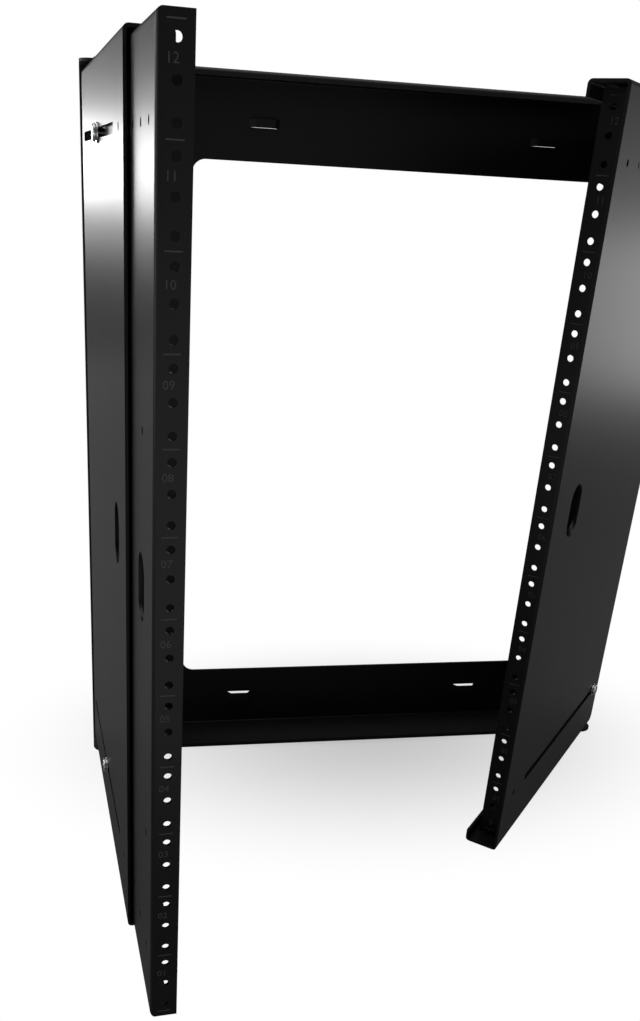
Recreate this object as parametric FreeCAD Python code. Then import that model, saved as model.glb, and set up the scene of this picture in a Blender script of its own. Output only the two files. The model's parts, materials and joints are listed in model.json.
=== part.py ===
"""Open-frame wall mount rack, 12 rack units high, with folding sides of adjustable depth.

Millimetres, +Z up. The origin is the middle of the wall slots on the wall face,
+Y points into the wall and the front rails are at negative Y. Each side folds about
a vertical line at a rear corner, and a front panel slides in it to set the depth.
"""
import FreeCAD
import Part

import math
import os

# Rack standard: unit height, hole rows in a unit, hole and opening widths
RACK_UNITS = 12
UNIT = 44.45
HOLE_EDGE = 6.35
HOLE_ROWS = (HOLE_EDGE, UNIT / 2, UNIT - HOLE_EDGE)
RAIL_HOLE_SPACING = 465.1
RAIL_HOLE_DIAMETER = 4.5
RAIL_OPENING = 450.0

# Sheet steel
SHEET = 2.0
BEND_RADIUS = 3.0
STRAIGHT_TOLERANCE = 1e-6

# Side panels
FRONT_SKIN_TO_HOLE = 9.0
SKIN_GAP = 1.7
RAIL_MARGIN = 4.0
SLIDE_CLEARANCE = 1.3
REAR_PANEL_DEPTH = 270.0
LIP_WIDTH = 26.0
HEM_HEIGHT = 10.0
CORNER_CUT = 6.0
FRONT_PANEL_DEPTH = 242.0
FRONT_LIP_WIDTH = 12.5
FRONT_LIP_NOTCH = 28.0

# Depth slots and the clamp screws that hold a chosen depth
SLOT_INSET = 44.0
SLOT_WIDTH = 6.0
SLOT_REAR = 16.0
SLOT_FRONT = 220.0
CLAMP_SCREW_DIAMETER = 5.0
CLAMP_HEAD_DIAMETER = 10.5
CLAMP_HEAD_HEIGHT = 2.6
CLAMP_WASHER_DIAMETER = 12.0
CLAMP_WASHER_THICKNESS = 1.0
CLAMP_NUT_SIDES = 6
CLAMP_NUT_WIDTH = 8.0
CLAMP_NUT_HEIGHT = 4.0
CLAMP_TIP = 1.0
CLAMP_FROM_RAIL = 234.0

# Cable openings and small holes in the skins
STRAP_OPENING_WIDTH = 25.0
STRAP_OPENING_HEIGHT = 40.0
REAR_STRAP_SETBACK = 50.0
FRONT_STRAP_SETBACK = 46.5
SMALL_HOLE_DIAMETER = 4.5
REAR_SMALL_HOLE_SETBACK = 23.0
FRONT_SMALL_HOLE_SETBACKS = (21.3, 49.5, 80.6)
LONE_HOLES = ((23.7, -148.0), (42.5, 88.0))

# Rear frame
FRAME_DEPTH = 48.0
FRAME_OVERHANG = 2.5
FRAME_HEM = 5.0
FOLD_CLEARANCE = 5.0
BEAM_HEIGHT = 58.5
LEFT_UPRIGHT_WIDTH = 84.75
RIGHT_UPRIGHT_WIDTH = 61.75
OPENING_RADIUS = 10.5
EAR_RADIUS = 12.0
WALL_SLOT_SPACING_X = 406.4
WALL_SLOT_EDGE = 31.5
WALL_SLOT_LENGTH = 17.0
WALL_SLOT_WIDTH = 6.5
TIE_BRIDGE_SPACING = 230.0
TIE_BRIDGE_SHIFT = 7.0
TIE_BRIDGE_LENGTH = 24.0
TIE_BRIDGE_FLAT = 16.0
TIE_BRIDGE_HEIGHT = 6.0
TIE_BRIDGE_RISE = 6.0

# Fold pivots
PIVOT_SETBACK = 12.0
PIVOT_INSET = 13.0
PIVOT_WASHER_THICKNESS = 3.5
PIVOT_WASHER_DIAMETER = 16.0
PIVOT_DIAMETER = 6.0
PIVOT_CLEARANCE = 0.05
PIVOT_HEAD_DIAMETER = 11.0
PIVOT_HEAD_HEIGHT = 1.8
PIVOT_END = 1.5

# How the rack stands in the photograph: fold angle and rail face of each side
LEFT_FOLD_DEG = 4.0
RIGHT_FOLD_DEG = 42.0
CLOSED_FACE = 254.5
LEFT_DRAWN_OUT = 105.5
LARGEST_FOLD_DEG = 42.0

# Sizes that follow from those above
RAIL_HEIGHT = RACK_UNITS * UNIT + 2 * RAIL_MARGIN
REAR_PANEL_HEIGHT = RAIL_HEIGHT + 2 * (SHEET + SLIDE_CLEARANCE)
SLOT_HEIGHT = REAR_PANEL_HEIGHT / 2 - SLOT_INSET
FLANGE_WIDTH = FRONT_SKIN_TO_HOLE + (RAIL_HOLE_SPACING - RAIL_OPENING) / 2
FRONT_SKIN_OFFSET = SHEET + SKIN_GAP
SIDES_WIDTH = RAIL_HOLE_SPACING + 2 * (FRONT_SKIN_TO_HOLE + FRONT_SKIN_OFFSET)
FRAME_WIDTH = SIDES_WIDTH + 2 * FRAME_OVERHANG
FRAME_HEIGHT = REAR_PANEL_HEIGHT + 2 * (PIVOT_WASHER_THICKNESS + SHEET)
OPENING_EDGES = {-1: LEFT_UPRIGHT_WIDTH - FRAME_WIDTH / 2, 1: FRAME_WIDTH / 2 - RIGHT_UPRIGHT_WIDTH}
OPENING_HEIGHT = FRAME_HEIGHT - 2 * BEAM_HEIGHT
WALL_SLOT_HEIGHT = FRAME_HEIGHT / 2 - WALL_SLOT_EDGE
PIVOT_X = SIDES_WIDTH / 2 - PIVOT_INSET
PIVOT_Y = -(FRAME_DEPTH - PIVOT_SETBACK)
PIVOT_HOLE_DIAMETER = PIVOT_DIAMETER + 2 * PIVOT_CLEARANCE

X_AXIS = FreeCAD.Vector(1, 0, 0)
Y_AXIS = FreeCAD.Vector(0, 1, 0)
Z_AXIS = FreeCAD.Vector(0, 0, 1)
ORIGIN = FreeCAD.Vector(0, 0, 0)


def box(low, high):
    """Box between two corners."""
    size = [high[i] - low[i] for i in range(3)]
    return Part.makeBox(size[0], size[1], size[2], FreeCAD.Vector(*low))


def rod(diameter, length, start, direction):
    """Round bar from a start point along a direction."""
    return Part.makeCylinder(diameter / 2, length, FreeCAD.Vector(*start), direction)


def obround(length, width, height, centre, along, direction):
    """Slot-shaped bar: its long way along one axis, extruded along the direction."""
    side = direction.cross(along)
    middle = FreeCAD.Vector(*centre)
    run = along * ((length - width) / 2)
    reach = side * (width / 2)
    tip = along * (length / 2)
    corners = [middle + run + reach, middle + tip, middle + run - reach,
               middle - run - reach, middle - tip, middle - run + reach]
    edges = [
        Part.Arc(corners[0], corners[1], corners[2]).toShape(),
        Part.makeLine(corners[2], corners[3]),
        Part.Arc(corners[3], corners[4], corners[5]).toShape(),
        Part.makeLine(corners[5], corners[0]),
    ]
    return Part.Face(Part.Wire(edges)).extrude(direction * height)


def edges_at(shape, axis, test):
    """Straight edges along one axis whose middle passes a test."""
    found = []
    for edge in shape.Edges:
        ends = edge.Vertexes
        if len(ends) != 2:
            continue
        run = ends[1].Point - ends[0].Point
        if run.Length < SHEET or abs(abs(run.dot(axis)) - run.Length) > STRAIGHT_TOLERANCE:
            continue
        if test((ends[0].Point + ends[1].Point) * 0.5):
            found.append(edge)
    return found


def near(value, target):
    """Whether a place lies on a named plane."""
    return abs(value - target) < 0.01


def channel(skin, depth, height, lip, hem):
    """Sheet channel open towards +X: web at X = skin, lips above and below, rounded bends.

    It runs along Y from 0 at the rear to -depth at the front.
    """
    half = height / 2
    outer = box((skin, -depth, -half), (skin + lip, 0, half))
    inner = box((skin + SHEET, -depth, -half + SHEET), (skin + lip, 0, half - SHEET))
    outer = outer.makeFillet(BEND_RADIUS, edges_at(
        outer, Y_AXIS, lambda p: near(p.x, skin) or (hem and near(p.x, skin + lip))))
    if hem:
        inner = box((skin + SHEET, -depth, -half + SHEET), (skin + lip - SHEET, 0, half - SHEET))
        mouth = box((skin + lip - SHEET, -depth, -half + hem), (skin + lip, 0, half - hem))
    inner = inner.makeFillet(BEND_RADIUS - SHEET, edges_at(
        inner, Y_AXIS, lambda p: near(p.x, skin + SHEET) or (hem and near(p.x, skin + lip - SHEET))))
    shape = outer.cut(inner)
    if hem:
        shape = shape.cut(mouth)
    return shape


def rear_panel():
    """Outer side panel, left hand, with its outer face at X = 0 and its rear edge at Y = 0."""
    panel = channel(0, REAR_PANEL_DEPTH, REAR_PANEL_HEIGHT, LIP_WIDTH, HEM_HEIGHT)
    slot_length = SLOT_FRONT - SLOT_REAR
    slot_middle = -(SLOT_FRONT + SLOT_REAR) / 2
    cuts = [obround(STRAP_OPENING_HEIGHT, STRAP_OPENING_WIDTH, SHEET,
                    (0, -(REAR_PANEL_DEPTH - REAR_STRAP_SETBACK), 0), Z_AXIS, X_AXIS)]
    for side in (-1, 1):
        level = side * SLOT_HEIGHT
        cuts.append(corner_waste(side))
        cuts.append(obround(slot_length, SLOT_WIDTH, SHEET, (0, slot_middle, level), Y_AXIS, X_AXIS))
        cuts.append(rod(SMALL_HOLE_DIAMETER, SHEET,
                        (0, -(REAR_PANEL_DEPTH - REAR_SMALL_HOLE_SETBACK), level), X_AXIS))
        lip_low = side * REAR_PANEL_HEIGHT / 2 - (SHEET if side > 0 else 0)
        cuts.append(rod(PIVOT_HOLE_DIAMETER, SHEET, (PIVOT_INSET, -PIVOT_SETBACK, lip_low), Z_AXIS))
    for cut in cuts:
        panel = panel.cut(cut)
    return panel


def corner_waste(side):
    """Wedge off a rear corner of the outer skin, which turns past the wall plate there."""
    edge = side * REAR_PANEL_HEIGHT / 2
    corners = [FreeCAD.Vector(0, 0, edge), FreeCAD.Vector(0, -CORNER_CUT, edge),
               FreeCAD.Vector(0, 0, edge - side * CORNER_CUT)]
    return Part.Face(Part.makePolygon(corners + corners[:1])).extrude(X_AXIS * BEND_RADIUS)


def rail_hole_levels():
    """Heights of the rail holes, from the bottom unit to the top one."""
    bottom = -RACK_UNITS * UNIT / 2
    return [bottom + unit * UNIT + row for unit in range(RACK_UNITS) for row in HOLE_ROWS]


def front_panel(face):
    """Inner side panel with its front rail, left hand, rail face at Y = -face."""
    skin = FRONT_SKIN_OFFSET
    half = RAIL_HEIGHT / 2
    rear = face - FRONT_PANEL_DEPTH
    outer = box((skin, -face, -half), (skin + FLANGE_WIDTH, -rear, half))
    inner = box((skin + SHEET, -face + SHEET, -half + SHEET), (skin + FLANGE_WIDTH, -rear, half - SHEET))
    outer = outer.makeFillet(BEND_RADIUS, edges_at(outer, Y_AXIS, lambda p: near(p.x, skin))
                             + edges_at(outer, Z_AXIS, lambda p: near(p.x, skin) and near(p.y, -face)))
    inner = inner.makeFillet(BEND_RADIUS - SHEET, edges_at(inner, Y_AXIS, lambda p: near(p.x, skin + SHEET))
                             + edges_at(inner, Z_AXIS, lambda p: near(p.x, skin + SHEET)
                                        and near(p.y, -face + SHEET)))
    panel = outer.cut(inner)
    cuts = [box((skin + SHEET, -rear - FRONT_LIP_NOTCH, -half), (skin + FLANGE_WIDTH, -rear, half)),
            box((skin + FRONT_LIP_WIDTH, -face + SHEET, -half), (skin + FLANGE_WIDTH, -rear, half))]
    for level in rail_hole_levels():
        cuts.append(rod(RAIL_HOLE_DIAMETER, SHEET, (skin + FRONT_SKIN_TO_HOLE, -face, level), Y_AXIS))
    cuts.append(obround(STRAP_OPENING_HEIGHT, STRAP_OPENING_WIDTH, SHEET,
                        (skin, -(face - FRONT_STRAP_SETBACK), 0), Z_AXIS, X_AXIS))
    for side in (-1, 1):
        level = side * SLOT_HEIGHT
        for setback in FRONT_SMALL_HOLE_SETBACKS:
            cuts.append(rod(SMALL_HOLE_DIAMETER, SHEET, (skin, -(face - setback), level), X_AXIS))
        cuts.append(rod(CLAMP_SCREW_DIAMETER, SHEET, (skin, -(face - CLAMP_FROM_RAIL), level), X_AXIS))
    for setback, level in LONE_HOLES:
        cuts.append(rod(SMALL_HOLE_DIAMETER, SHEET, (skin, -(face - setback), level), X_AXIS))
    return panel.cut(Part.makeCompound(cuts))


def clamp_screw(face, level):
    """Clamp screw with its washer, from outside the outer skin to behind the nut."""
    y = -(face - CLAMP_FROM_RAIL)
    seat = -CLAMP_WASHER_THICKNESS
    shank_end = FRONT_SKIN_OFFSET + SHEET + CLAMP_NUT_HEIGHT + CLAMP_TIP
    washer = rod(CLAMP_WASHER_DIAMETER, CLAMP_WASHER_THICKNESS, (seat, y, level), X_AXIS)
    head = rod(CLAMP_HEAD_DIAMETER, CLAMP_HEAD_HEIGHT, (seat - CLAMP_HEAD_HEIGHT, y, level), X_AXIS)
    head = head.makeChamfer(CLAMP_HEAD_HEIGHT / 2, [e for e in head.Edges
                                                    if near(e.CenterOfMass.x, seat - CLAMP_HEAD_HEIGHT)])
    shank = rod(CLAMP_SCREW_DIAMETER, shank_end - seat, (seat, y, level), X_AXIS)
    return head.fuse(washer).fuse(shank).removeSplitter()


def clamp_nut(face, level):
    """Hexagon nut behind the front panel's skin."""
    y = -(face - CLAMP_FROM_RAIL)
    start = FRONT_SKIN_OFFSET + SHEET
    turn = 2 * math.pi / CLAMP_NUT_SIDES
    radius = CLAMP_NUT_WIDTH / 2 / math.cos(turn / 2)
    corners = [FreeCAD.Vector(start, y + radius * math.cos(turn * k), level + radius * math.sin(turn * k))
               for k in range(CLAMP_NUT_SIDES)]
    nut = Part.Face(Part.makePolygon(corners + corners[:1])).extrude(X_AXIS * CLAMP_NUT_HEIGHT)
    return nut.cut(rod(CLAMP_SCREW_DIAMETER, CLAMP_NUT_HEIGHT, (start, y, level), X_AXIS))


def beam(top):
    """Deep cross plate of the rear frame with its forward lip, hem, ears, tie bridges and wall slots."""
    half = FRAME_HEIGHT / 2
    low = OPENING_HEIGHT / 2
    wide = FRAME_WIDTH / 2
    outer = box((-wide, -FRAME_DEPTH, low), (wide, 0, half))
    outer = outer.makeFillet(BEND_RADIUS, edges_at(outer, X_AXIS, lambda p: near(p.z, half)))
    inner = box((-wide, -FRAME_DEPTH + SHEET, low), (wide, -SHEET, half - SHEET))
    inner = inner.makeFillet(BEND_RADIUS - SHEET, edges_at(inner, X_AXIS, lambda p: near(p.z, half - SHEET)))
    shape = outer.cut(inner)
    shape = shape.cut(box((-wide, -FRAME_DEPTH, low), (wide, -FRAME_DEPTH + SHEET, half - FRAME_HEM)))
    for side in (-1, 1):
        shape = shape.cut(ear_relief(side, half))
        shape = shape.fuse(ear_tip(side, half)).cut(ear_round(side, half))
        shape = shape.cut(rod(PIVOT_HOLE_DIAMETER, SHEET, (side * PIVOT_X, PIVOT_Y, half - SHEET), Z_AXIS))
        shape = shape.cut(obround(WALL_SLOT_LENGTH, WALL_SLOT_WIDTH, SHEET,
                                  (side * WALL_SLOT_SPACING_X / 2, -SHEET, WALL_SLOT_HEIGHT),
                                  X_AXIS, Y_AXIS))
        shape = tie_bridge(shape, TIE_BRIDGE_SHIFT + side * TIE_BRIDGE_SPACING / 2)
        shape = shape.fuse(opening_corner(side))
    shape = shape.removeSplitter()
    return shape if top else shape.mirror(ORIGIN, Z_AXIS)


def tie_bridge(plate, x):
    """Lance a narrow strap out of the plate and press it forward, for a cable tie to pass behind."""
    end = TIE_BRIDGE_LENGTH / 2
    flat = TIE_BRIDGE_FLAT / 2
    low = WALL_SLOT_HEIGHT - TIE_BRIDGE_HEIGHT / 2
    high = low + TIE_BRIDGE_HEIGHT
    line = ((-end, 0), (-flat, -TIE_BRIDGE_RISE), (flat, -TIE_BRIDGE_RISE), (end, 0))
    profile = [FreeCAD.Vector(x + along, y, low) for along, y in line]
    profile += [FreeCAD.Vector(x + along, y - SHEET, low) for along, y in reversed(line)]
    strap = Part.Face(Part.makePolygon(profile + profile[:1])).extrude(Z_AXIS * TIE_BRIDGE_HEIGHT)
    return plate.cut(box((x - end, -SHEET, low), (x + end, 0, high))).fuse(strap)


def ear_width():
    """How much of the lip stays flat at each end, so that the folded side panel turns under it."""
    fold = math.radians(LARGEST_FOLD_DEG)
    inner = LIP_WIDTH - PIVOT_INSET
    forward = (PIVOT_SETBACK + inner * math.sin(fold)) / math.cos(fold)
    reach = inner * math.cos(fold) + forward * math.sin(fold) + FOLD_CLEARANCE
    return FRAME_OVERHANG + PIVOT_INSET + reach


def ear_relief(side, half):
    """Cut that takes the hem and its bend off an ear."""
    wide = FRAME_WIDTH / 2
    x = sorted((side * (wide - ear_width()), side * wide))
    return box((x[0], -FRAME_DEPTH, half - FRAME_HEM), (x[1], -FRAME_DEPTH + BEND_RADIUS, half))


def ear_tip(side, half):
    """Flat front strip of an ear, with its round corner."""
    wide = FRAME_WIDTH / 2
    x = sorted((side * (wide - ear_width()), side * wide))
    return box((x[0], -FRAME_DEPTH, half - SHEET), (x[1], -FRAME_DEPTH + BEND_RADIUS, half))


def ear_round(side, half):
    """Waste outside the round front corner of an ear."""
    wide = FRAME_WIDTH / 2
    x = sorted((side * (wide - EAR_RADIUS), side * wide))
    y_high = -FRAME_DEPTH + EAR_RADIUS
    waste = box((x[0], -FRAME_DEPTH, half - SHEET), (x[1], y_high, half))
    return waste.cut(rod(2 * EAR_RADIUS, SHEET, (side * (wide - EAR_RADIUS), y_high, half - SHEET), Z_AXIS))


def opening_corner(side):
    """Fillet that fills an upper corner of the rear opening."""
    middle_x = OPENING_EDGES[side] - side * OPENING_RADIUS
    x = sorted((OPENING_EDGES[side], middle_x))
    low = OPENING_HEIGHT / 2 - OPENING_RADIUS
    block = box((x[0], -SHEET, low), (x[1], 0, low + OPENING_RADIUS))
    return block.cut(rod(2 * OPENING_RADIUS, SHEET, (middle_x, -SHEET, low), Y_AXIS))


def upright(side):
    """Side plate of the rear frame, between the two beams."""
    half = OPENING_HEIGHT / 2
    x = sorted((OPENING_EDGES[side], side * FRAME_WIDTH / 2))
    return box((x[0], -SHEET, -half), (x[1], 0, half))


def pivot_bolt():
    """Fold pivot, top side: head above the frame's lip, shank through the panel's lip."""
    lip_top = FRAME_HEIGHT / 2
    length = SHEET + PIVOT_WASHER_THICKNESS + SHEET + PIVOT_END
    shank = rod(PIVOT_DIAMETER, length, (0, 0, lip_top - length), Z_AXIS)
    head = rod(PIVOT_HEAD_DIAMETER, PIVOT_HEAD_HEIGHT, (0, 0, lip_top), Z_AXIS)
    head = head.makeChamfer(PIVOT_HEAD_HEIGHT / 2, [e for e in head.Edges
                                                    if near(e.CenterOfMass.z, lip_top + PIVOT_HEAD_HEIGHT)])
    return shank.fuse(head).removeSplitter()


def pivot_washer():
    """Plain thick washer between the frame's lip and the panel's lip, top side."""
    low = REAR_PANEL_HEIGHT / 2
    washer = rod(PIVOT_WASHER_DIAMETER, PIVOT_WASHER_THICKNESS, (0, 0, low), Z_AXIS)
    return washer.cut(rod(PIVOT_HOLE_DIAMETER, PIVOT_WASHER_THICKNESS, (0, 0, low), Z_AXIS))


def place_side(shape, side, fold_deg):
    """Put a left-hand side piece at its pivot, folded inwards, and mirror it for the right."""
    placed = shape.copy()
    placed.translate(FreeCAD.Vector(-PIVOT_INSET, PIVOT_SETBACK, 0))
    placed.rotate(ORIGIN, Z_AXIS, fold_deg)
    placed.translate(FreeCAD.Vector(-PIVOT_X, PIVOT_Y, 0))
    return placed if side < 0 else placed.mirror(ORIGIN, X_AXIS)


def save(name, shape):
    """Write one named piece."""
    print(name, shape.isValid(), len(shape.Solids), round(shape.Volume), len(shape.Faces))
    shape.exportStep("parts/%s.step" % name)


def main():
    """Build every piece and write it."""
    os.makedirs("parts", exist_ok=True)
    save("rear_top_beam", beam(True))
    save("rear_bottom_beam", beam(False))
    for word, side, fold, face in (("left", -1, LEFT_FOLD_DEG, CLOSED_FACE + LEFT_DRAWN_OUT),
                                   ("right", 1, RIGHT_FOLD_DEG, CLOSED_FACE)):
        save("rear_%s_upright" % word, upright(side))
        save("%s_rear_panel" % word, place_side(rear_panel(), side, fold))
        save("%s_front_panel" % word, place_side(front_panel(face), side, fold))
        for level_word, level in (("top", 1), ("bottom", -1)):
            height = level * SLOT_HEIGHT
            save("%s_%s_clamp_screw" % (word, level_word), place_side(clamp_screw(face, height), side, fold))
            save("%s_%s_clamp_nut" % (word, level_word), place_side(clamp_nut(face, height), side, fold))
            for name, piece in (("pivot_bolt", pivot_bolt()), ("pivot_washer", pivot_washer())):
                piece = piece if level > 0 else piece.mirror(ORIGIN, Z_AXIS)
                piece.translate(FreeCAD.Vector(side * PIVOT_X, PIVOT_Y, 0))
                save("%s_%s_%s" % (word, level_word, name), piece)


main()
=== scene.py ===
"""Looks of the open-frame wall rack on a pale studio floor.

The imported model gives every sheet, nut and washer its shape and place. This script
gives them their finishes, prints the unit marks on both rails and puts detailed
heads on the clamp screws and the fold pivots. Lengths are in metres.
"""
from __future__ import annotations

import json
import logging
import math
from dataclasses import dataclass, field
from enum import Enum

import bpy
from mathutils import Matrix, Vector

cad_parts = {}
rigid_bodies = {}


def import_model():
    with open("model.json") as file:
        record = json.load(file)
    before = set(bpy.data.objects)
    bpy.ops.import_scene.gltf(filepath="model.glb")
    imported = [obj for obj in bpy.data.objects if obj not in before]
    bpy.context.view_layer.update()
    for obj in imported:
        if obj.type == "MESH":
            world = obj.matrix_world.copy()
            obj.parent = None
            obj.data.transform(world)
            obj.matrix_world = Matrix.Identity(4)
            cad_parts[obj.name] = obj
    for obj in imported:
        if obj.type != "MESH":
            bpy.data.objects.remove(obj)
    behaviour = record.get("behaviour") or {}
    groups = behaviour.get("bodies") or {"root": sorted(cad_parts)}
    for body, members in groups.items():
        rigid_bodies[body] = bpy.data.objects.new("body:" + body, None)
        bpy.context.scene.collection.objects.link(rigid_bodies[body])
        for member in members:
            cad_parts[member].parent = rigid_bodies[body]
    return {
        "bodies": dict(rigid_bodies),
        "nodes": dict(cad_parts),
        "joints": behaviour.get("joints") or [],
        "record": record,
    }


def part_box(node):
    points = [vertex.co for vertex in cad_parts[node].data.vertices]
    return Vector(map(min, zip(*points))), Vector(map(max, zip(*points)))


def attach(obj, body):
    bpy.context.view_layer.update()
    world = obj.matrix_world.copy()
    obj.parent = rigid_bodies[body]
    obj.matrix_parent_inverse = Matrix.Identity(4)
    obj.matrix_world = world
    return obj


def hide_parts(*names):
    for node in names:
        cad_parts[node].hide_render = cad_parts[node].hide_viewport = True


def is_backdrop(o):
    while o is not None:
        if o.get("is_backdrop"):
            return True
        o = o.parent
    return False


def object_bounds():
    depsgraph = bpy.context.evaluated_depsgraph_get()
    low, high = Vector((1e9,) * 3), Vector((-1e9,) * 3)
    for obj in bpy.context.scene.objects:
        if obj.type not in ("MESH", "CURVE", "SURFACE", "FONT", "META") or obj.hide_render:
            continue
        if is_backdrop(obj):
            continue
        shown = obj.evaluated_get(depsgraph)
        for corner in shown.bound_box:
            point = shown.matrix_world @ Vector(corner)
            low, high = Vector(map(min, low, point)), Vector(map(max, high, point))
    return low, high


LOG = logging.getLogger("wall_rack")
MM = 0.001
UP = Vector((0, 0, 1))
ACROSS = Vector((1, 0, 0))
WHITE = (1.0, 1.0, 1.0, 1.0)
RACK_UNITS = 12
HOLE_ROWS = (1, 2, 3)

# An edge sharper than the first angle is bevelled, and one flatter than the second is shaded smooth.
CORNER_ANGLE = math.radians(60)
SMOOTH_ANGLE = math.radians(35)


class Side(Enum):
    """The two folding sides of the rack."""

    LEFT = "left"
    RIGHT = "right"


class Recess(Enum):
    """Shape of the drive recess in a screw head."""

    CROSS = "cross"
    HEXAGON = "hexagon"


def linear_colour(code: str) -> tuple[float, float, float, float]:
    """Turn an sRGB hex colour into the linear values that a shader takes.

    Args:
        code: Six hex digits after a hash sign.

    Returns:
        Linear red, green and blue with an alpha of 1.
    """
    parts = [int(code[place:place + 2], 16) / 255 for place in (1, 3, 5)]
    linear = [part / 12.92 if part <= 0.04045 else ((part + 0.055) / 1.055) ** 2.4 for part in parts]
    return (linear[0], linear[1], linear[2], 1.0)


def add_node(
    tree: bpy.types.NodeTree,
    kind: str,
    inputs: dict | None = None,
    **settings: object,
) -> bpy.types.Node:
    """Add a shader node with its settings, values and links.

    Args:
        tree: The node tree that takes the node.
        kind: The node's type name.
        inputs: For each input name or index, a value or the output socket to link.
        **settings: Properties of the node itself.

    Returns:
        The new node.
    """
    node = tree.nodes.new(kind)
    for name, value in settings.items():
        setattr(node, name, value)
    for key, value in (inputs or {}).items():
        if isinstance(value, bpy.types.NodeSocket):
            tree.links.new(value, node.inputs[key])
        else:
            node.inputs[key].default_value = value
    return node


def empty_material(name: str) -> bpy.types.Material:
    """Make a material with an empty node tree.

    Args:
        name: The finish that it is named for.

    Returns:
        The material.
    """
    material = bpy.data.materials.new(name)
    material.use_nodes = True
    material.node_tree.nodes.clear()
    return material


@dataclass(frozen=True)
class PowderCoat:
    """Polyester powder baked on steel sheet.

    To the eye it is near-black and satin, with a soft sheen broken by a fine even grain.
    The grain is drawn coarser than real, so that it shows.
    """

    name: str
    colour: str = "#131314"
    roughness: float = 0.36
    specular: float = 0.2
    grain_size: float = 0.9 * MM
    grain_height: float = 0.02 * MM
    grain_detail: float = 2.0
    grain_strength: float = 0.5

    def build(self) -> bpy.types.Material:
        """Make the material.

        Returns:
            The coat with its grain as a bump.
        """
        material = empty_material(self.name)
        tree = material.node_tree
        place = add_node(tree, "ShaderNodeTexCoord")
        grain = add_node(tree, "ShaderNodeTexNoise",
                         {"Vector": place.outputs["Object"], "Scale": 1 / self.grain_size,
                          "Detail": self.grain_detail})
        bump = add_node(tree, "ShaderNodeBump",
                        {"Height": grain.outputs["Fac"], "Distance": self.grain_height,
                         "Strength": self.grain_strength})
        coat = add_node(tree, "ShaderNodeBsdfPrincipled",
                        {"Base Color": linear_colour(self.colour), "Roughness": self.roughness,
                         "Specular IOR Level": self.specular, "Normal": bump.outputs["Normal"]})
        add_node(tree, "ShaderNodeOutputMaterial", {"Surface": coat.outputs["BSDF"]})
        return material


@dataclass(frozen=True)
class ZincPlate:
    """Bright zinc on a turned steel screw.

    To the eye it is a pale metal that mirrors the studio softly, a bright spot on the black sheet.
    """

    name: str = "bright zinc plate"
    colour: str = "#d3d4d6"
    roughness: float = 0.22

    def build(self) -> bpy.types.Material:
        """Make the material.

        Returns:
            The plated metal.
        """
        material = empty_material(self.name)
        tree = material.node_tree
        metal = add_node(tree, "ShaderNodeBsdfPrincipled",
                         {"Base Color": linear_colour(self.colour), "Metallic": 1.0,
                          "Roughness": self.roughness})
        add_node(tree, "ShaderNodeOutputMaterial", {"Surface": metal.outputs["BSDF"]})
        return material


@dataclass(frozen=True)
class PlainFinish:
    """One even colour with a set gloss, for moulded nylon, black oxide and print."""

    name: str
    colour: str
    roughness: float
    specular: float = 0.5

    def build(self) -> bpy.types.Material:
        """Make the material.

        Returns:
            The plain finish.
        """
        material = empty_material(self.name)
        tree = material.node_tree
        shell = add_node(tree, "ShaderNodeBsdfPrincipled",
                         {"Base Color": linear_colour(self.colour), "Roughness": self.roughness,
                          "Specular IOR Level": self.specular})
        add_node(tree, "ShaderNodeOutputMaterial", {"Surface": shell.outputs["BSDF"]})
        return material


# Screen ink on the coat: flat mid grey, so the marks stand out without a gleam of their own.
SCREEN_PRINT = PlainFinish("grey screen print", colour="#4a4a4a", roughness=0.6, specular=0.3)


def deselect_all() -> None:
    """Leave object mode with nothing selected."""
    if bpy.context.object and bpy.context.object.mode != "OBJECT":
        bpy.ops.object.mode_set(mode="OBJECT")
    bpy.ops.object.select_all(action="DESELECT")


def make_active(piece: bpy.types.Object) -> None:
    """Select one object alone and make it the active one.

    Args:
        piece: The object.
    """
    deselect_all()
    piece.select_set(True)
    bpy.context.view_layer.objects.active = piece


def apply_place(piece: bpy.types.Object, matrix: Matrix) -> None:
    """Move a piece by a matrix and write its place into its mesh.

    Args:
        piece: The piece to move.
        matrix: Applied after the place that the piece has.
    """
    make_active(piece)
    piece.matrix_world = matrix @ piece.matrix_world
    bpy.context.view_layer.update()
    bpy.ops.object.transform_apply(location=True, rotation=True, scale=True)


def apply_modifiers(piece: bpy.types.Object) -> None:
    """Apply every modifier of a piece in order.

    Args:
        piece: The piece to finish.
    """
    make_active(piece)
    for modifier in list(piece.modifiers):
        bpy.ops.object.modifier_apply(modifier=modifier.name)


def bevel_corners(piece: bpy.types.Object, width: float, steps: int) -> None:
    """Round the sharp corners of a piece.

    Args:
        piece: The piece to round.
        width: Width of the bevel.
        steps: Number of flats that make it up.
    """
    bevel = piece.modifiers.new("bevel", "BEVEL")
    bevel.width = width
    bevel.segments = steps
    bevel.limit_method = "ANGLE"
    bevel.angle_limit = CORNER_ANGLE
    apply_modifiers(piece)


def combine(piece: bpy.types.Object, other: bpy.types.Object, operation: str) -> None:
    """Join another solid to a piece, or cut it out, and remove the other one.

    Args:
        piece: The piece that stays.
        other: The solid that is used up.
        operation: UNION or DIFFERENCE.
    """
    change = piece.modifiers.new("combine", "BOOLEAN")
    change.operation = operation
    change.solver = "EXACT"
    change.object = other
    apply_modifiers(piece)
    bpy.data.objects.remove(other, do_unlink=True)


def smooth(piece: bpy.types.Object) -> None:
    """Shade a piece smooth, with its sharp edges kept."""
    make_active(piece)
    bpy.ops.object.shade_smooth_by_angle(angle=SMOOTH_ANGLE)


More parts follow.
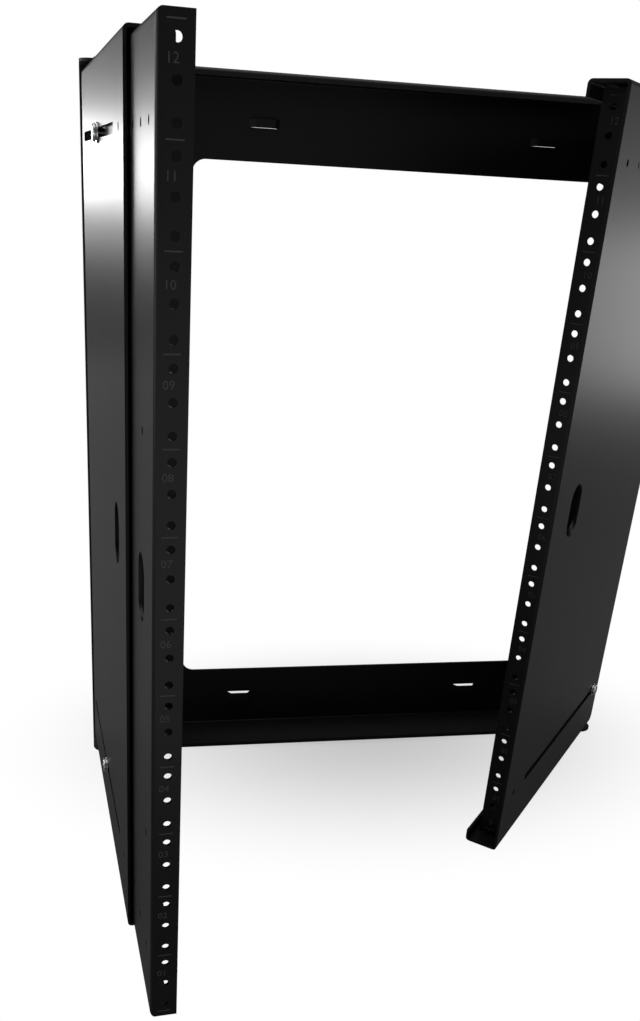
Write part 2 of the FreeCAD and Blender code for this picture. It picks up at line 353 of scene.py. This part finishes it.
def join(pieces: list[bpy.types.Object], name: str) -> bpy.types.Object:
    """Join pieces into one object with its origin at the scene's.

    Args:
        pieces: The pieces, of which the first one takes in the others.
        name: The name of the joined object.

    Returns:
        The joined object.
    """
    make_active(pieces[0])
    for piece in pieces:
        piece.select_set(True)
    if len(pieces) > 1:
        bpy.ops.object.join()
    joined = bpy.context.object
    joined.name = name
    bpy.ops.object.transform_apply(location=True, rotation=True, scale=True)
    return joined


def axes_matrix(x_axis: Vector, y_axis: Vector, place: Vector) -> Matrix:
    """Matrix that carries the local X and Y axes and the origin to the given ones.

    Args:
        x_axis: Unit direction that local X takes.
        y_axis: Unit direction that local Y takes, square to the first.
        place: Where the origin goes.

    Returns:
        The matrix.
    """
    z_axis = x_axis.cross(y_axis)
    matrix = Matrix((x_axis, y_axis, z_axis)).transposed().to_4x4()
    matrix.translation = place
    return matrix


@dataclass
class RackFrame:
    """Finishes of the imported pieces, slot by slot."""

    frame: dict
    finishes: dict[str, PowderCoat | ZincPlate | PlainFinish] = field(default_factory=lambda: {
        # The cross plates show a duller sheen than the sides.
        "frame_steel": PowderCoat("black powder coat on the wall frame", roughness=0.45),
        # The skins show a satin sheen that fades down each panel.
        "panel_steel": PowderCoat("black powder coat on the side panels"),
        "bright_screw": ZincPlate(),
        # Oxide is smoother and darker than the coat around it, with a small tight highlight.
        "black_bolt": PlainFinish("black oxide on steel", colour="#0c0c0d", roughness=0.35),
        # Nylon is dull, so the washer shows as a dark line between the lips.
        "washer_nylon": PlainFinish("black moulded nylon", colour="#0e0e0e", roughness=0.55),
    })

    def dress(self) -> dict[str, bpy.types.Material]:
        """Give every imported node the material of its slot.

        Returns:
            The materials by slot name.
        """
        materials = {slot: finish.build() for slot, finish in self.finishes.items()}
        for part in self.frame["record"]["subparts"]:
            node = self.frame["nodes"][part["node"]]
            node.data.materials.clear()
            node.data.materials.append(materials[part["material_slot"]])
        return materials


@dataclass(frozen=True)
class RailPlace:
    """Where one rail stands, read from its mounting holes in the record."""

    frame: dict
    side: Side

    def mount(self, unit: str, row: int) -> dict:
        """Record of one mounting hole.

        Args:
            unit: The rack unit, top or bottom.
            row: The hole in that unit, counted upwards from 1.

        Returns:
            The mount as the record states it.
        """
        name = f"{self.side.value}_rail_{unit}_unit_hole_{row}"
        return next(mount for mount in self.frame["record"]["mounts"] if mount["name"] == name)

    def hole(self, unit: str, row: int) -> Vector:
        """Place of a mounting hole on the rail's face."""
        return Vector(self.mount(unit, row)["pos_m"])

    def outward(self) -> Vector:
        """Direction that the rail's face looks in."""
        return Vector(self.mount("top", HOLE_ROWS[0])["axis"]).normalized()

    def reading(self) -> Vector:
        """Direction in which the marks on the rail's face are read."""
        return UP.cross(self.outward())

    def outboard(self) -> Vector:
        """Direction along the rail's face that leads away from the rack."""
        return -self.reading() if self.side is Side.LEFT else self.reading()


@dataclass
class RailMarks:
    """Unit lines and two-digit unit numbers printed on the face of one rail."""

    frame: dict
    side: Side
    ink: bpy.types.Material
    line_length: float = 8.2 * MM
    line_width: float = 0.7 * MM
    line_offset: float = 0.6 * MM
    digit_height: float = 4.3 * MM
    digit_offset: float = 2.0 * MM
    # Size of the font that gives digits with a height of 1
    type_size: float = 1.4
    curve_steps: int = 3
    film: float = 0.04 * MM

    def build(self) -> bpy.types.Object:
        """Print the marks and let them ride on the rail.

        Returns:
            The printed marks as one object.
        """
        rail = RailPlace(self.frame, self.side)
        first_hole = rail.hole("bottom", HOLE_ROWS[0])
        pitch = (rail.hole("top", HOLE_ROWS[0]).z - first_hole.z) / (RACK_UNITS - 1)
        rows = [rail.hole("bottom", row).z - first_hole.z for row in HOLE_ROWS]
        margin = (pitch - rows[-1]) / 2
        number_rise = margin + (rows[-2] + rows[-1]) / 2
        foot = first_hole.z - margin
        face = Vector((first_hole.x, first_hole.y, 0)) + rail.outward() * self.face_lift(rail)
        numbers_at = face + rail.outboard() * self.digit_offset
        lines_at = face + rail.outboard() * self.line_offset
        pieces = []
        for unit in range(RACK_UNITS):
            level = foot + unit * pitch + number_rise
            pieces.append(self.number(f"{unit + 1:02d}", rail.reading(), numbers_at + UP * level))
        for border in range(RACK_UNITS + 1):
            level = foot + border * pitch
            pieces.append(self.line(rail.reading(), lines_at + UP * level))
        marks = join(pieces, f"{self.side.value}_rail_marks")
        marks.data.materials.clear()
        marks.data.materials.append(self.ink)
        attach(marks, f"{self.side.value}_rail")
        LOG.info("printed %s", marks.name)
        return marks

    def face_lift(self, rail: RailPlace) -> float:
        """How far the print lies in front of the recorded hole places.

        Args:
            rail: Where the rail stands.

        Returns:
            The distance from a hole's recorded place to the middle of the ink.
        """
        out = rail.outward()
        panel = self.frame["nodes"][f"{self.side.value}_front_panel"]
        reach = max(vertex.co.dot(out) for vertex in panel.data.vertices)
        return reach - rail.hole("bottom", HOLE_ROWS[0]).dot(out) + self.film / 2

    def line(self, reading: Vector, place: Vector) -> bpy.types.Object:
        """Print one unit line, as a thin bar.

        Args:
            reading: Direction in which the marks are read.
            place: Middle of the line.

        Returns:
            The bar.
        """
        deselect_all()
        bpy.ops.mesh.primitive_cube_add(size=1)
        bar = bpy.context.object
        bar.scale = (self.line_length, self.line_width, self.film)
        apply_place(bar, axes_matrix(reading, UP, place))
        return bar

    def number(self, digits: str, reading: Vector, place: Vector) -> bpy.types.Object:
        """Print one unit number, as a thin mesh.

        Args:
            digits: The two digits.
            reading: Direction in which the marks are read.
            place: Middle of the number.

        Returns:
            The number.
        """
        deselect_all()
        bpy.ops.object.text_add()
        text = bpy.context.object
        text.data.body = digits
        text.data.align_x = "CENTER"
        text.data.align_y = "CENTER"
        text.data.size = self.digit_height * self.type_size
        text.data.extrude = self.film / 2
        text.data.resolution_u = self.curve_steps
        bpy.ops.object.convert(target="MESH")
        apply_place(text, axes_matrix(reading, UP, place))
        return text


@dataclass
class RoundHeadScrew:
    """Domed screw head with a drive recess, a shank and, on some, a plain washer.

    The shares are of the head's height for the dome and the recess cutter, half of which stands
    above the head, of the head's diameter for the recess sizes, and of the washer's thickness
    for its rim. The shank's length counts from the underside of the head.
    """

    name: str
    recess: Recess
    head_diameter: float
    head_height: float
    shank_diameter: float
    shank_length: float
    washer_diameter: float = 0.0
    washer_thickness: float = 0.0
    dome_share: float = 0.75
    cutter_height_share: float = 1.2
    hexagon_radius_share: float = 0.26
    blade_length_share: float = 0.56
    blade_width_share: float = 0.13
    rim_share: float = 0.25
    round_steps: int = 48
    dome_steps: int = 4
    rim_steps: int = 2

    def build(self, matrix: Matrix) -> bpy.types.Object:
        """Model the screw along local +Z, from its seat at the origin, and place it.

        Args:
            matrix: Carries the origin to the screw's seat and +Z to its head.

        Returns:
            The screw as one object.
        """
        parts = [self.head(), self.shank()]
        if self.washer_thickness:
            parts.append(self.washer())
        screw = join(parts, self.name)
        apply_place(screw, matrix)
        return screw

    def rod(self, diameter: float, length: float, foot: float) -> bpy.types.Object:
        """Add a plain rod along +Z.

        Args:
            diameter: Diameter of the rod.
            length: Length of the rod.
            foot: Height of its lower end.

        Returns:
            The rod.
        """
        deselect_all()
        bpy.ops.mesh.primitive_cylinder_add(vertices=self.round_steps, radius=diameter / 2,
                                            depth=length, location=(0, 0, foot + length / 2))
        return bpy.context.object

    def head(self) -> bpy.types.Object:
        """Model the domed head with its recess cut in.

        Returns:
            The head.
        """
        head = self.rod(self.head_diameter, self.head_height, self.washer_thickness)
        bevel_corners(head, self.head_height * self.dome_share, self.dome_steps)
        combine(head, self.cutter(self.washer_thickness + self.head_height), "DIFFERENCE")
        smooth(head)
        return head

    def cutter(self, top: float) -> bpy.types.Object:
        """Model a solid in the form of the drive recess.

        Args:
            top: Height of the head's top, which the solid is centred on.

        Returns:
            The solid.
        """
        height = self.head_height * self.cutter_height_share
        if self.recess is Recess.HEXAGON:
            deselect_all()
            bpy.ops.mesh.primitive_cylinder_add(vertices=6, depth=height, location=(0, 0, top),
                                                radius=self.head_diameter * self.hexagon_radius_share)
            return bpy.context.object
        blade, cross_blade = (self.blade(turn, top, height) for turn in (0, math.pi / 2))
        combine(blade, cross_blade, "UNION")
        return blade

    def blade(self, turn: float, top: float, height: float) -> bpy.types.Object:
        """Model one blade of the cross recess.

        Args:
            turn: Angle of the blade about +Z.
            top: Height of its middle.
            height: Height of the whole blade.

        Returns:
            The blade.
        """
        deselect_all()
        bpy.ops.mesh.primitive_cube_add(size=1, location=(0, 0, top), rotation=(0, 0, turn))
        blade = bpy.context.object
        blade.scale = (self.head_diameter * self.blade_length_share,
                       self.head_diameter * self.blade_width_share, height)
        make_active(blade)
        bpy.ops.object.transform_apply(location=True, rotation=True, scale=True)
        return blade

    def shank(self) -> bpy.types.Object:
        """Model the plain round shank below the head.

        Returns:
            The shank.
        """
        shank = self.rod(self.shank_diameter, self.shank_length, self.washer_thickness - self.shank_length)
        smooth(shank)
        return shank

    def washer(self) -> bpy.types.Object:
        """Model the flat washer with a slightly rounded rim.

        Returns:
            The washer.
        """
        washer = self.rod(self.washer_diameter, self.washer_thickness, 0)
        bevel_corners(washer, self.washer_thickness * self.rim_share, self.rim_steps)
        smooth(washer)
        return washer


@dataclass
class SideScrews:
    """Clamp screws and fold pivots of one side, with their sizes."""

    frame: dict
    side: Side
    materials: dict[str, bpy.types.Material]
    clamp_head_diameter: float = 10.5 * MM
    clamp_head_height: float = 2.6 * MM
    clamp_diameter: float = 5.0 * MM
    clamp_washer_diameter: float = 12.0 * MM
    clamp_washer_thickness: float = 1.0 * MM
    # From the middle of the nut to the face of the outer skin, and inwards to the screw's end
    nut_to_skin: float = 7.7 * MM
    nut_to_end: float = 2.0 * MM
    # Keeps the washer's face off the skin that it slides on
    seat_gap: float = 0.03 * MM
    pivot_head_diameter: float = 11.0 * MM
    pivot_head_height: float = 1.8 * MM
    pivot_diameter: float = 6.0 * MM

    def build(self) -> None:
        """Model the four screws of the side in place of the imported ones."""
        for level in ("top", "bottom"):
            self.clamp(level)
            self.pivot(level)

    def clamp(self, level: str) -> None:
        """Model a bright clamp screw and its washer, through the depth slot.

        Args:
            level: The slot that it goes through, top or bottom.
        """
        rail = RailPlace(self.frame, self.side)
        out = rail.outward()
        outboard = rail.outboard()
        stem = f"{self.side.value}_{level}"
        low, high = (Vector(corner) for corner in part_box(f"{stem}_clamp_nut"))
        seat = (low + high) / 2 + outboard * (self.nut_to_skin + self.seat_gap)
        shank_length = self.clamp_washer_thickness + self.nut_to_skin + self.nut_to_end
        screw = RoundHeadScrew(
            f"{stem}_clamp_screw_detail", Recess.CROSS,
            self.clamp_head_diameter, self.clamp_head_height,
            self.clamp_diameter, shank_length,
            self.clamp_washer_diameter, self.clamp_washer_thickness)
        piece = screw.build(axes_matrix(out, outboard.cross(out), seat))
        self.finish(piece, "bright_screw", f"{self.side.value}_rail", f"{stem}_clamp_screw")

    def pivot(self, level: str) -> None:
        """Model a black button-head bolt that the side folds on.

        Args:
            level: The corner of the wall frame, top or bottom.
        """
        stem = f"{self.side.value}_{level}"
        low, high = (Vector(corner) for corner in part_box(f"{stem}_pivot_bolt"))
        middle = (low + high) / 2
        shank_length = high.z - low.z - self.pivot_head_height
        if level == "top":
            head_way = UP
            seat = high.z - self.pivot_head_height
        else:
            head_way = -UP
            seat = low.z + self.pivot_head_height
        bolt = RoundHeadScrew(
            f"{stem}_pivot_bolt_detail", Recess.HEXAGON,
            self.pivot_head_diameter, self.pivot_head_height,
            self.pivot_diameter, shank_length)
        place = Vector((middle.x, middle.y, seat))
        piece = bolt.build(axes_matrix(ACROSS, head_way.cross(ACROSS), place))
        self.finish(piece, "black_bolt", "rear_frame", f"{stem}_pivot_bolt")

    def finish(self, piece: bpy.types.Object, slot: str, body: str, node: str) -> None:
        """Dress a screw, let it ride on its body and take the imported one's place.

        Args:
            piece: The modelled screw.
            slot: The material slot that it takes.
            body: The body that carries it.
            node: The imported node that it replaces.
        """
        piece.data.materials.clear()
        piece.data.materials.append(self.materials[slot])
        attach(piece, body)
        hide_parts(node)
        LOG.info("modelled %s", piece.name)


@dataclass(frozen=True)
class SoftBox:
    """Rectangular studio lamp that looks at a point, with its power in watts."""

    name: str
    place: tuple[float, float, float]
    target: tuple[float, float, float]
    width: float
    height: float
    power: float

    def build(self) -> None:
        """Add the lamp to the studio."""
        deselect_all()
        bpy.ops.object.light_add(type="AREA", location=self.place)
        lamp = bpy.context.object
        lamp.name = self.name
        lamp.data.shape = "RECTANGLE"
        lamp.data.size = self.width
        lamp.data.size_y = self.height
        lamp.data.energy = self.power
        aim = Vector(self.target) - Vector(self.place)
        lamp.rotation_euler = aim.to_track_quat("-Z", "Y").to_euler()
        lamp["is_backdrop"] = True


@dataclass
class Studio:
    """Pale floor, soft lamps, white surroundings and the camera of the photograph."""

    floor_level: float
    floor_size: float = 12.0
    floor_colour: str = "#8a8a8a"
    # Middle and reach of the ellipse of floor that is drawn greyer around the rack as a painted shadow, and
    # the share of lit grey paper at its middle; the rack's real shadow also shows on that paper
    shadow_middle: tuple[float, float] = (0.02, -0.03)
    shadow_reach: tuple[float, float] = (0.38, 0.24)
    shadow_share: float = 0.5
    # Gloss sees the floor turn from grey to white between these places in front of the rack
    bright_front: tuple[float, float] = (-0.5, -0.9)
    # Strength of the surroundings in front and behind, and where the first turns to the second
    front_light: float = 0.16
    rear_light: float = 0.1
    light_turn: tuple[float, float] = (0.1, 0.9)
    # Gloss sees a white band behind the rack, which fades between these heights of the view
    backdrop_reach: tuple[float, float] = (0.02, 0.16)
    camera_place: tuple[float, float, float] = (-0.2491, -0.8577, 0.2088)
    heading_deg: float = 11.141
    tilt_deg: float = 24.343
    roll_deg: float = 3.344
    lens_mm: float = 56.47
    sensor_mm: float = 36.0
    shift: tuple[float, float] = (0.0791, 0.1945)
    lamps: tuple[SoftBox, ...] = (
        SoftBox("high_soft_box", place=(0.0, 0.0, 2.2), target=(0.0, 0.0, 0.0),
                width=2.4, height=2.4, power=36.0),
        SoftBox("left_rear_strip", place=(-0.75, 2.2, 0.23), target=(-0.23, -0.25, 0.2),
                width=0.9, height=0.2, power=5.0),
        SoftBox("right_strip", place=(1.9, 1.05, -0.06), target=(0.2, -0.1, 0.0),
                width=0.9, height=0.4, power=2.2),
        SoftBox("left_strip", place=(-2.2, -0.2, 0.25), target=(-0.2, -0.4, 0.1),
                width=0.6, height=1.2, power=8.0),
        SoftBox("left_rear_box", place=(-2.1, 1.5, 0.9), target=(0.0, 0.0, 0.0),
                width=0.9, height=0.9, power=12.0),
        SoftBox("right_front_strip", place=(1.7, -1.6, 0.5), target=(0.1, -0.1, 0.0),
                width=0.8, height=1.0, power=6.0),
    )

    def build(self) -> None:
        """Set up the floor, the world, the lamps and the camera."""
        self.floor()
        self.world()
        for lamp in self.lamps:
            lamp.build()
        self.camera()
        bpy.context.scene.view_settings.view_transform = "Standard"
        LOG.info("set up the studio with %d lamps", len(self.lamps))

    def floor(self) -> None:
        """Lay the wide paper floor."""
        deselect_all()
        bpy.ops.mesh.primitive_plane_add(size=self.floor_size, location=(0, 0, self.floor_level))
        floor = bpy.context.object
        floor.name = "studio_floor"
        floor.data.materials.append(self.paper())
        floor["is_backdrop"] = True

    def paper(self) -> bpy.types.Material:
        """Make the paper, which is drawn greyer near the rack as a painted shadow that also keeps the
        rack's real shadow, and is plain white away from it.

        Returns:
            The floor's material.
        """
        material = empty_material("matt white studio paper")
        tree = material.node_tree
        place = add_node(tree, "ShaderNodeTexCoord").outputs["Object"]
        rays = add_node(tree, "ShaderNodeMath",
                        {0: self.background_rays(tree), 1: self.front_gloss(tree, place)},
                        operation="MAXIMUM")
        # Where the white share is lower, the lit grey paper shows: a painted shadow around the rack, with
        # the rack's real shadow in it
        seen = add_node(tree, "ShaderNodeMath",
                        {0: self.whiteness(tree, place), 1: rays.outputs["Value"]},
                        operation="MULTIPLY")
        paper = add_node(tree, "ShaderNodeBsdfDiffuse", {"Color": linear_colour(self.floor_colour)})
        plain = add_node(tree, "ShaderNodeEmission", {"Color": WHITE, "Strength": 1.0})
        mixed = add_node(tree, "ShaderNodeMixShader",
                         {0: seen.outputs["Value"], 1: paper.outputs["BSDF"], 2: plain.outputs["Emission"]})
        add_node(tree, "ShaderNodeOutputMaterial", {"Surface": mixed.outputs["Shader"]})
        return material

    def whiteness(self, tree: bpy.types.NodeTree, place: bpy.types.NodeSocket) -> bpy.types.NodeSocket:
        """Share of plain white, which rises from the rack outwards; its lower share near the rack paints a
        shadow there.

        Args:
            tree: The floor's node tree.
            place: Socket with the place on the floor.

        Returns:
            The socket with the share.
        """
        offset = add_node(tree, "ShaderNodeVectorMath",
                          {0: place, 1: (*self.shadow_middle, 0.0)}, operation="SUBTRACT")
        share = add_node(tree, "ShaderNodeVectorMath",
                         {0: offset.outputs["Vector"], 1: (*self.shadow_reach, 1.0)}, operation="DIVIDE")
        away = add_node(tree, "ShaderNodeVectorMath", {0: share.outputs["Vector"]}, operation="LENGTH")
        # The lowest share, at the ellipse's middle, gives the deepest part of the painted shadow
        white = add_node(tree, "ShaderNodeMapRange",
                         {"Value": away.outputs["Value"], "To Min": 1 - self.shadow_share, "To Max": 1.0},
                         interpolation_type="SMOOTHSTEP")
        return white.outputs["Result"]

    def front_gloss(self, tree: bpy.types.NodeTree, place: bpy.types.NodeSocket) -> bpy.types.NodeSocket:
        """Share of white that gloss sees on the floor in front of the rack.

        Args:
            tree: The floor's node tree.
            place: Socket with the place on the floor.

        Returns:
            The socket with the share, which is 0 for rays other than glossy ones.
        """
        parts = add_node(tree, "ShaderNodeSeparateXYZ", {"Vector": place})
        front = add_node(tree, "ShaderNodeMapRange",
                         {"Value": parts.outputs["Y"], "From Min": self.bright_front[0],
                          "From Max": self.bright_front[1]}, interpolation_type="SMOOTHSTEP")
        path = add_node(tree, "ShaderNodeLightPath")
        gloss = add_node(tree, "ShaderNodeMath",
                         {0: path.outputs["Is Glossy Ray"], 1: front.outputs["Result"]},
                         operation="MULTIPLY")
        return gloss.outputs["Value"]

    def background_rays(self, tree: bpy.types.NodeTree) -> bpy.types.NodeSocket:
        """Find the rays that should see a plain white background.

        Args:
            tree: The node tree of the floor or the world.

        Returns:
            The socket that is 1 for those rays.
        """
        path = add_node(tree, "ShaderNodeLightPath")
        return add_node(tree, "ShaderNodeMath",
                        {0: path.outputs["Is Camera Ray"], 1: path.outputs["Is Transmission Ray"]},
                        operation="MAXIMUM").outputs["Value"]

    def world(self) -> None:
        """White surroundings for the camera; the object's gloss shows them as a band behind it."""
        world = bpy.data.worlds.new("white studio")
        bpy.context.scene.world = world
        world.use_nodes = True
        tree = world.node_tree
        tree.nodes.clear()
        view = add_node(tree, "ShaderNodeTexCoord")
        parts = add_node(tree, "ShaderNodeSeparateXYZ", {"Vector": view.outputs["Generated"]})
        depth = add_node(tree, "ShaderNodeMapRange",
                         {"Value": parts.outputs["Y"], "From Min": self.light_turn[0],
                          "From Max": self.light_turn[1], "To Min": self.front_light,
                          "To Max": self.rear_light}, interpolation_type="SMOOTHSTEP")
        studio = add_node(tree, "ShaderNodeMath",
                          {0: depth.outputs["Result"], 1: self.backdrop(tree, parts)},
                          operation="MAXIMUM")
        dim = add_node(tree, "ShaderNodeBackground",
                       {"Color": WHITE, "Strength": studio.outputs["Value"]})
        white = add_node(tree, "ShaderNodeBackground", {"Color": WHITE, "Strength": 1.0})
        mixed = add_node(tree, "ShaderNodeMixShader",
                         {0: self.background_rays(tree), 1: dim.outputs[0], 2: white.outputs[0]})
        add_node(tree, "ShaderNodeOutputWorld", {"Surface": mixed.outputs[0]})

    def backdrop(self, tree: bpy.types.NodeTree, parts: bpy.types.Node) -> bpy.types.NodeSocket:
        """Band of white behind the rack, at the height of the horizon, that gloss sees.

        Args:
            tree: The world's node tree.
            parts: Node that splits the direction of view into X, Y and Z.

        Returns:
            The socket with the band's strength, which is 0 for rays other than glossy ones.
        """
        height = add_node(tree, "ShaderNodeMath", {0: parts.outputs["Z"]}, operation="ABSOLUTE")
        band = add_node(tree, "ShaderNodeMapRange",
                        {"Value": height.outputs["Value"], "From Min": self.backdrop_reach[0],
                         "From Max": self.backdrop_reach[1], "To Min": 1.0, "To Max": 0.0},
                        interpolation_type="SMOOTHSTEP")
        behind = add_node(tree, "ShaderNodeMath",
                          {0: parts.outputs["Y"], 1: band.outputs["Result"]}, operation="MULTIPLY",
                          use_clamp=True)
        path = add_node(tree, "ShaderNodeLightPath")
        return add_node(tree, "ShaderNodeMath",
                        {0: path.outputs["Is Glossy Ray"], 1: behind.outputs["Value"]},
                        operation="MULTIPLY").outputs["Value"]

    def camera(self) -> None:
        """Camera at the photograph's viewing angle."""
        deselect_all()
        bpy.ops.object.camera_add()
        camera = bpy.context.object
        turn = Matrix.Rotation(-math.radians(self.heading_deg), 4, "Z")
        tilt = Matrix.Rotation(math.pi / 2 - math.radians(self.tilt_deg), 4, "X")
        roll = Matrix.Rotation(math.radians(self.roll_deg), 4, "Z")
        camera.matrix_world = Matrix.Translation(self.camera_place) @ turn @ tilt @ roll
        camera.data.sensor_fit = "HORIZONTAL"
        camera.data.sensor_width = self.sensor_mm
        camera.data.lens = self.lens_mm
        camera.data.shift_x, camera.data.shift_y = self.shift
        bpy.context.scene.camera = camera


def plain_bounds() -> list[list[float]]:
    """Bounds of all that is shown, as plain lists."""
    return [[float(value) for value in corner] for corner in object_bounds()]


def main() -> None:
    """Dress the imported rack, add its printed marks and screws, and set the studio."""
    logging.basicConfig(level=logging.INFO, format="%(message)s")
    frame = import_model()
    solid_box = plain_bounds()
    materials = RackFrame(frame).dress()
    ink = SCREEN_PRINT.build()
    for side in Side:
        RailMarks(frame, side, ink).build()
        SideScrews(frame, side, materials).build()
    Studio(floor_level=solid_box[0][2]).build()


if __name__ == "__main__":
    main()
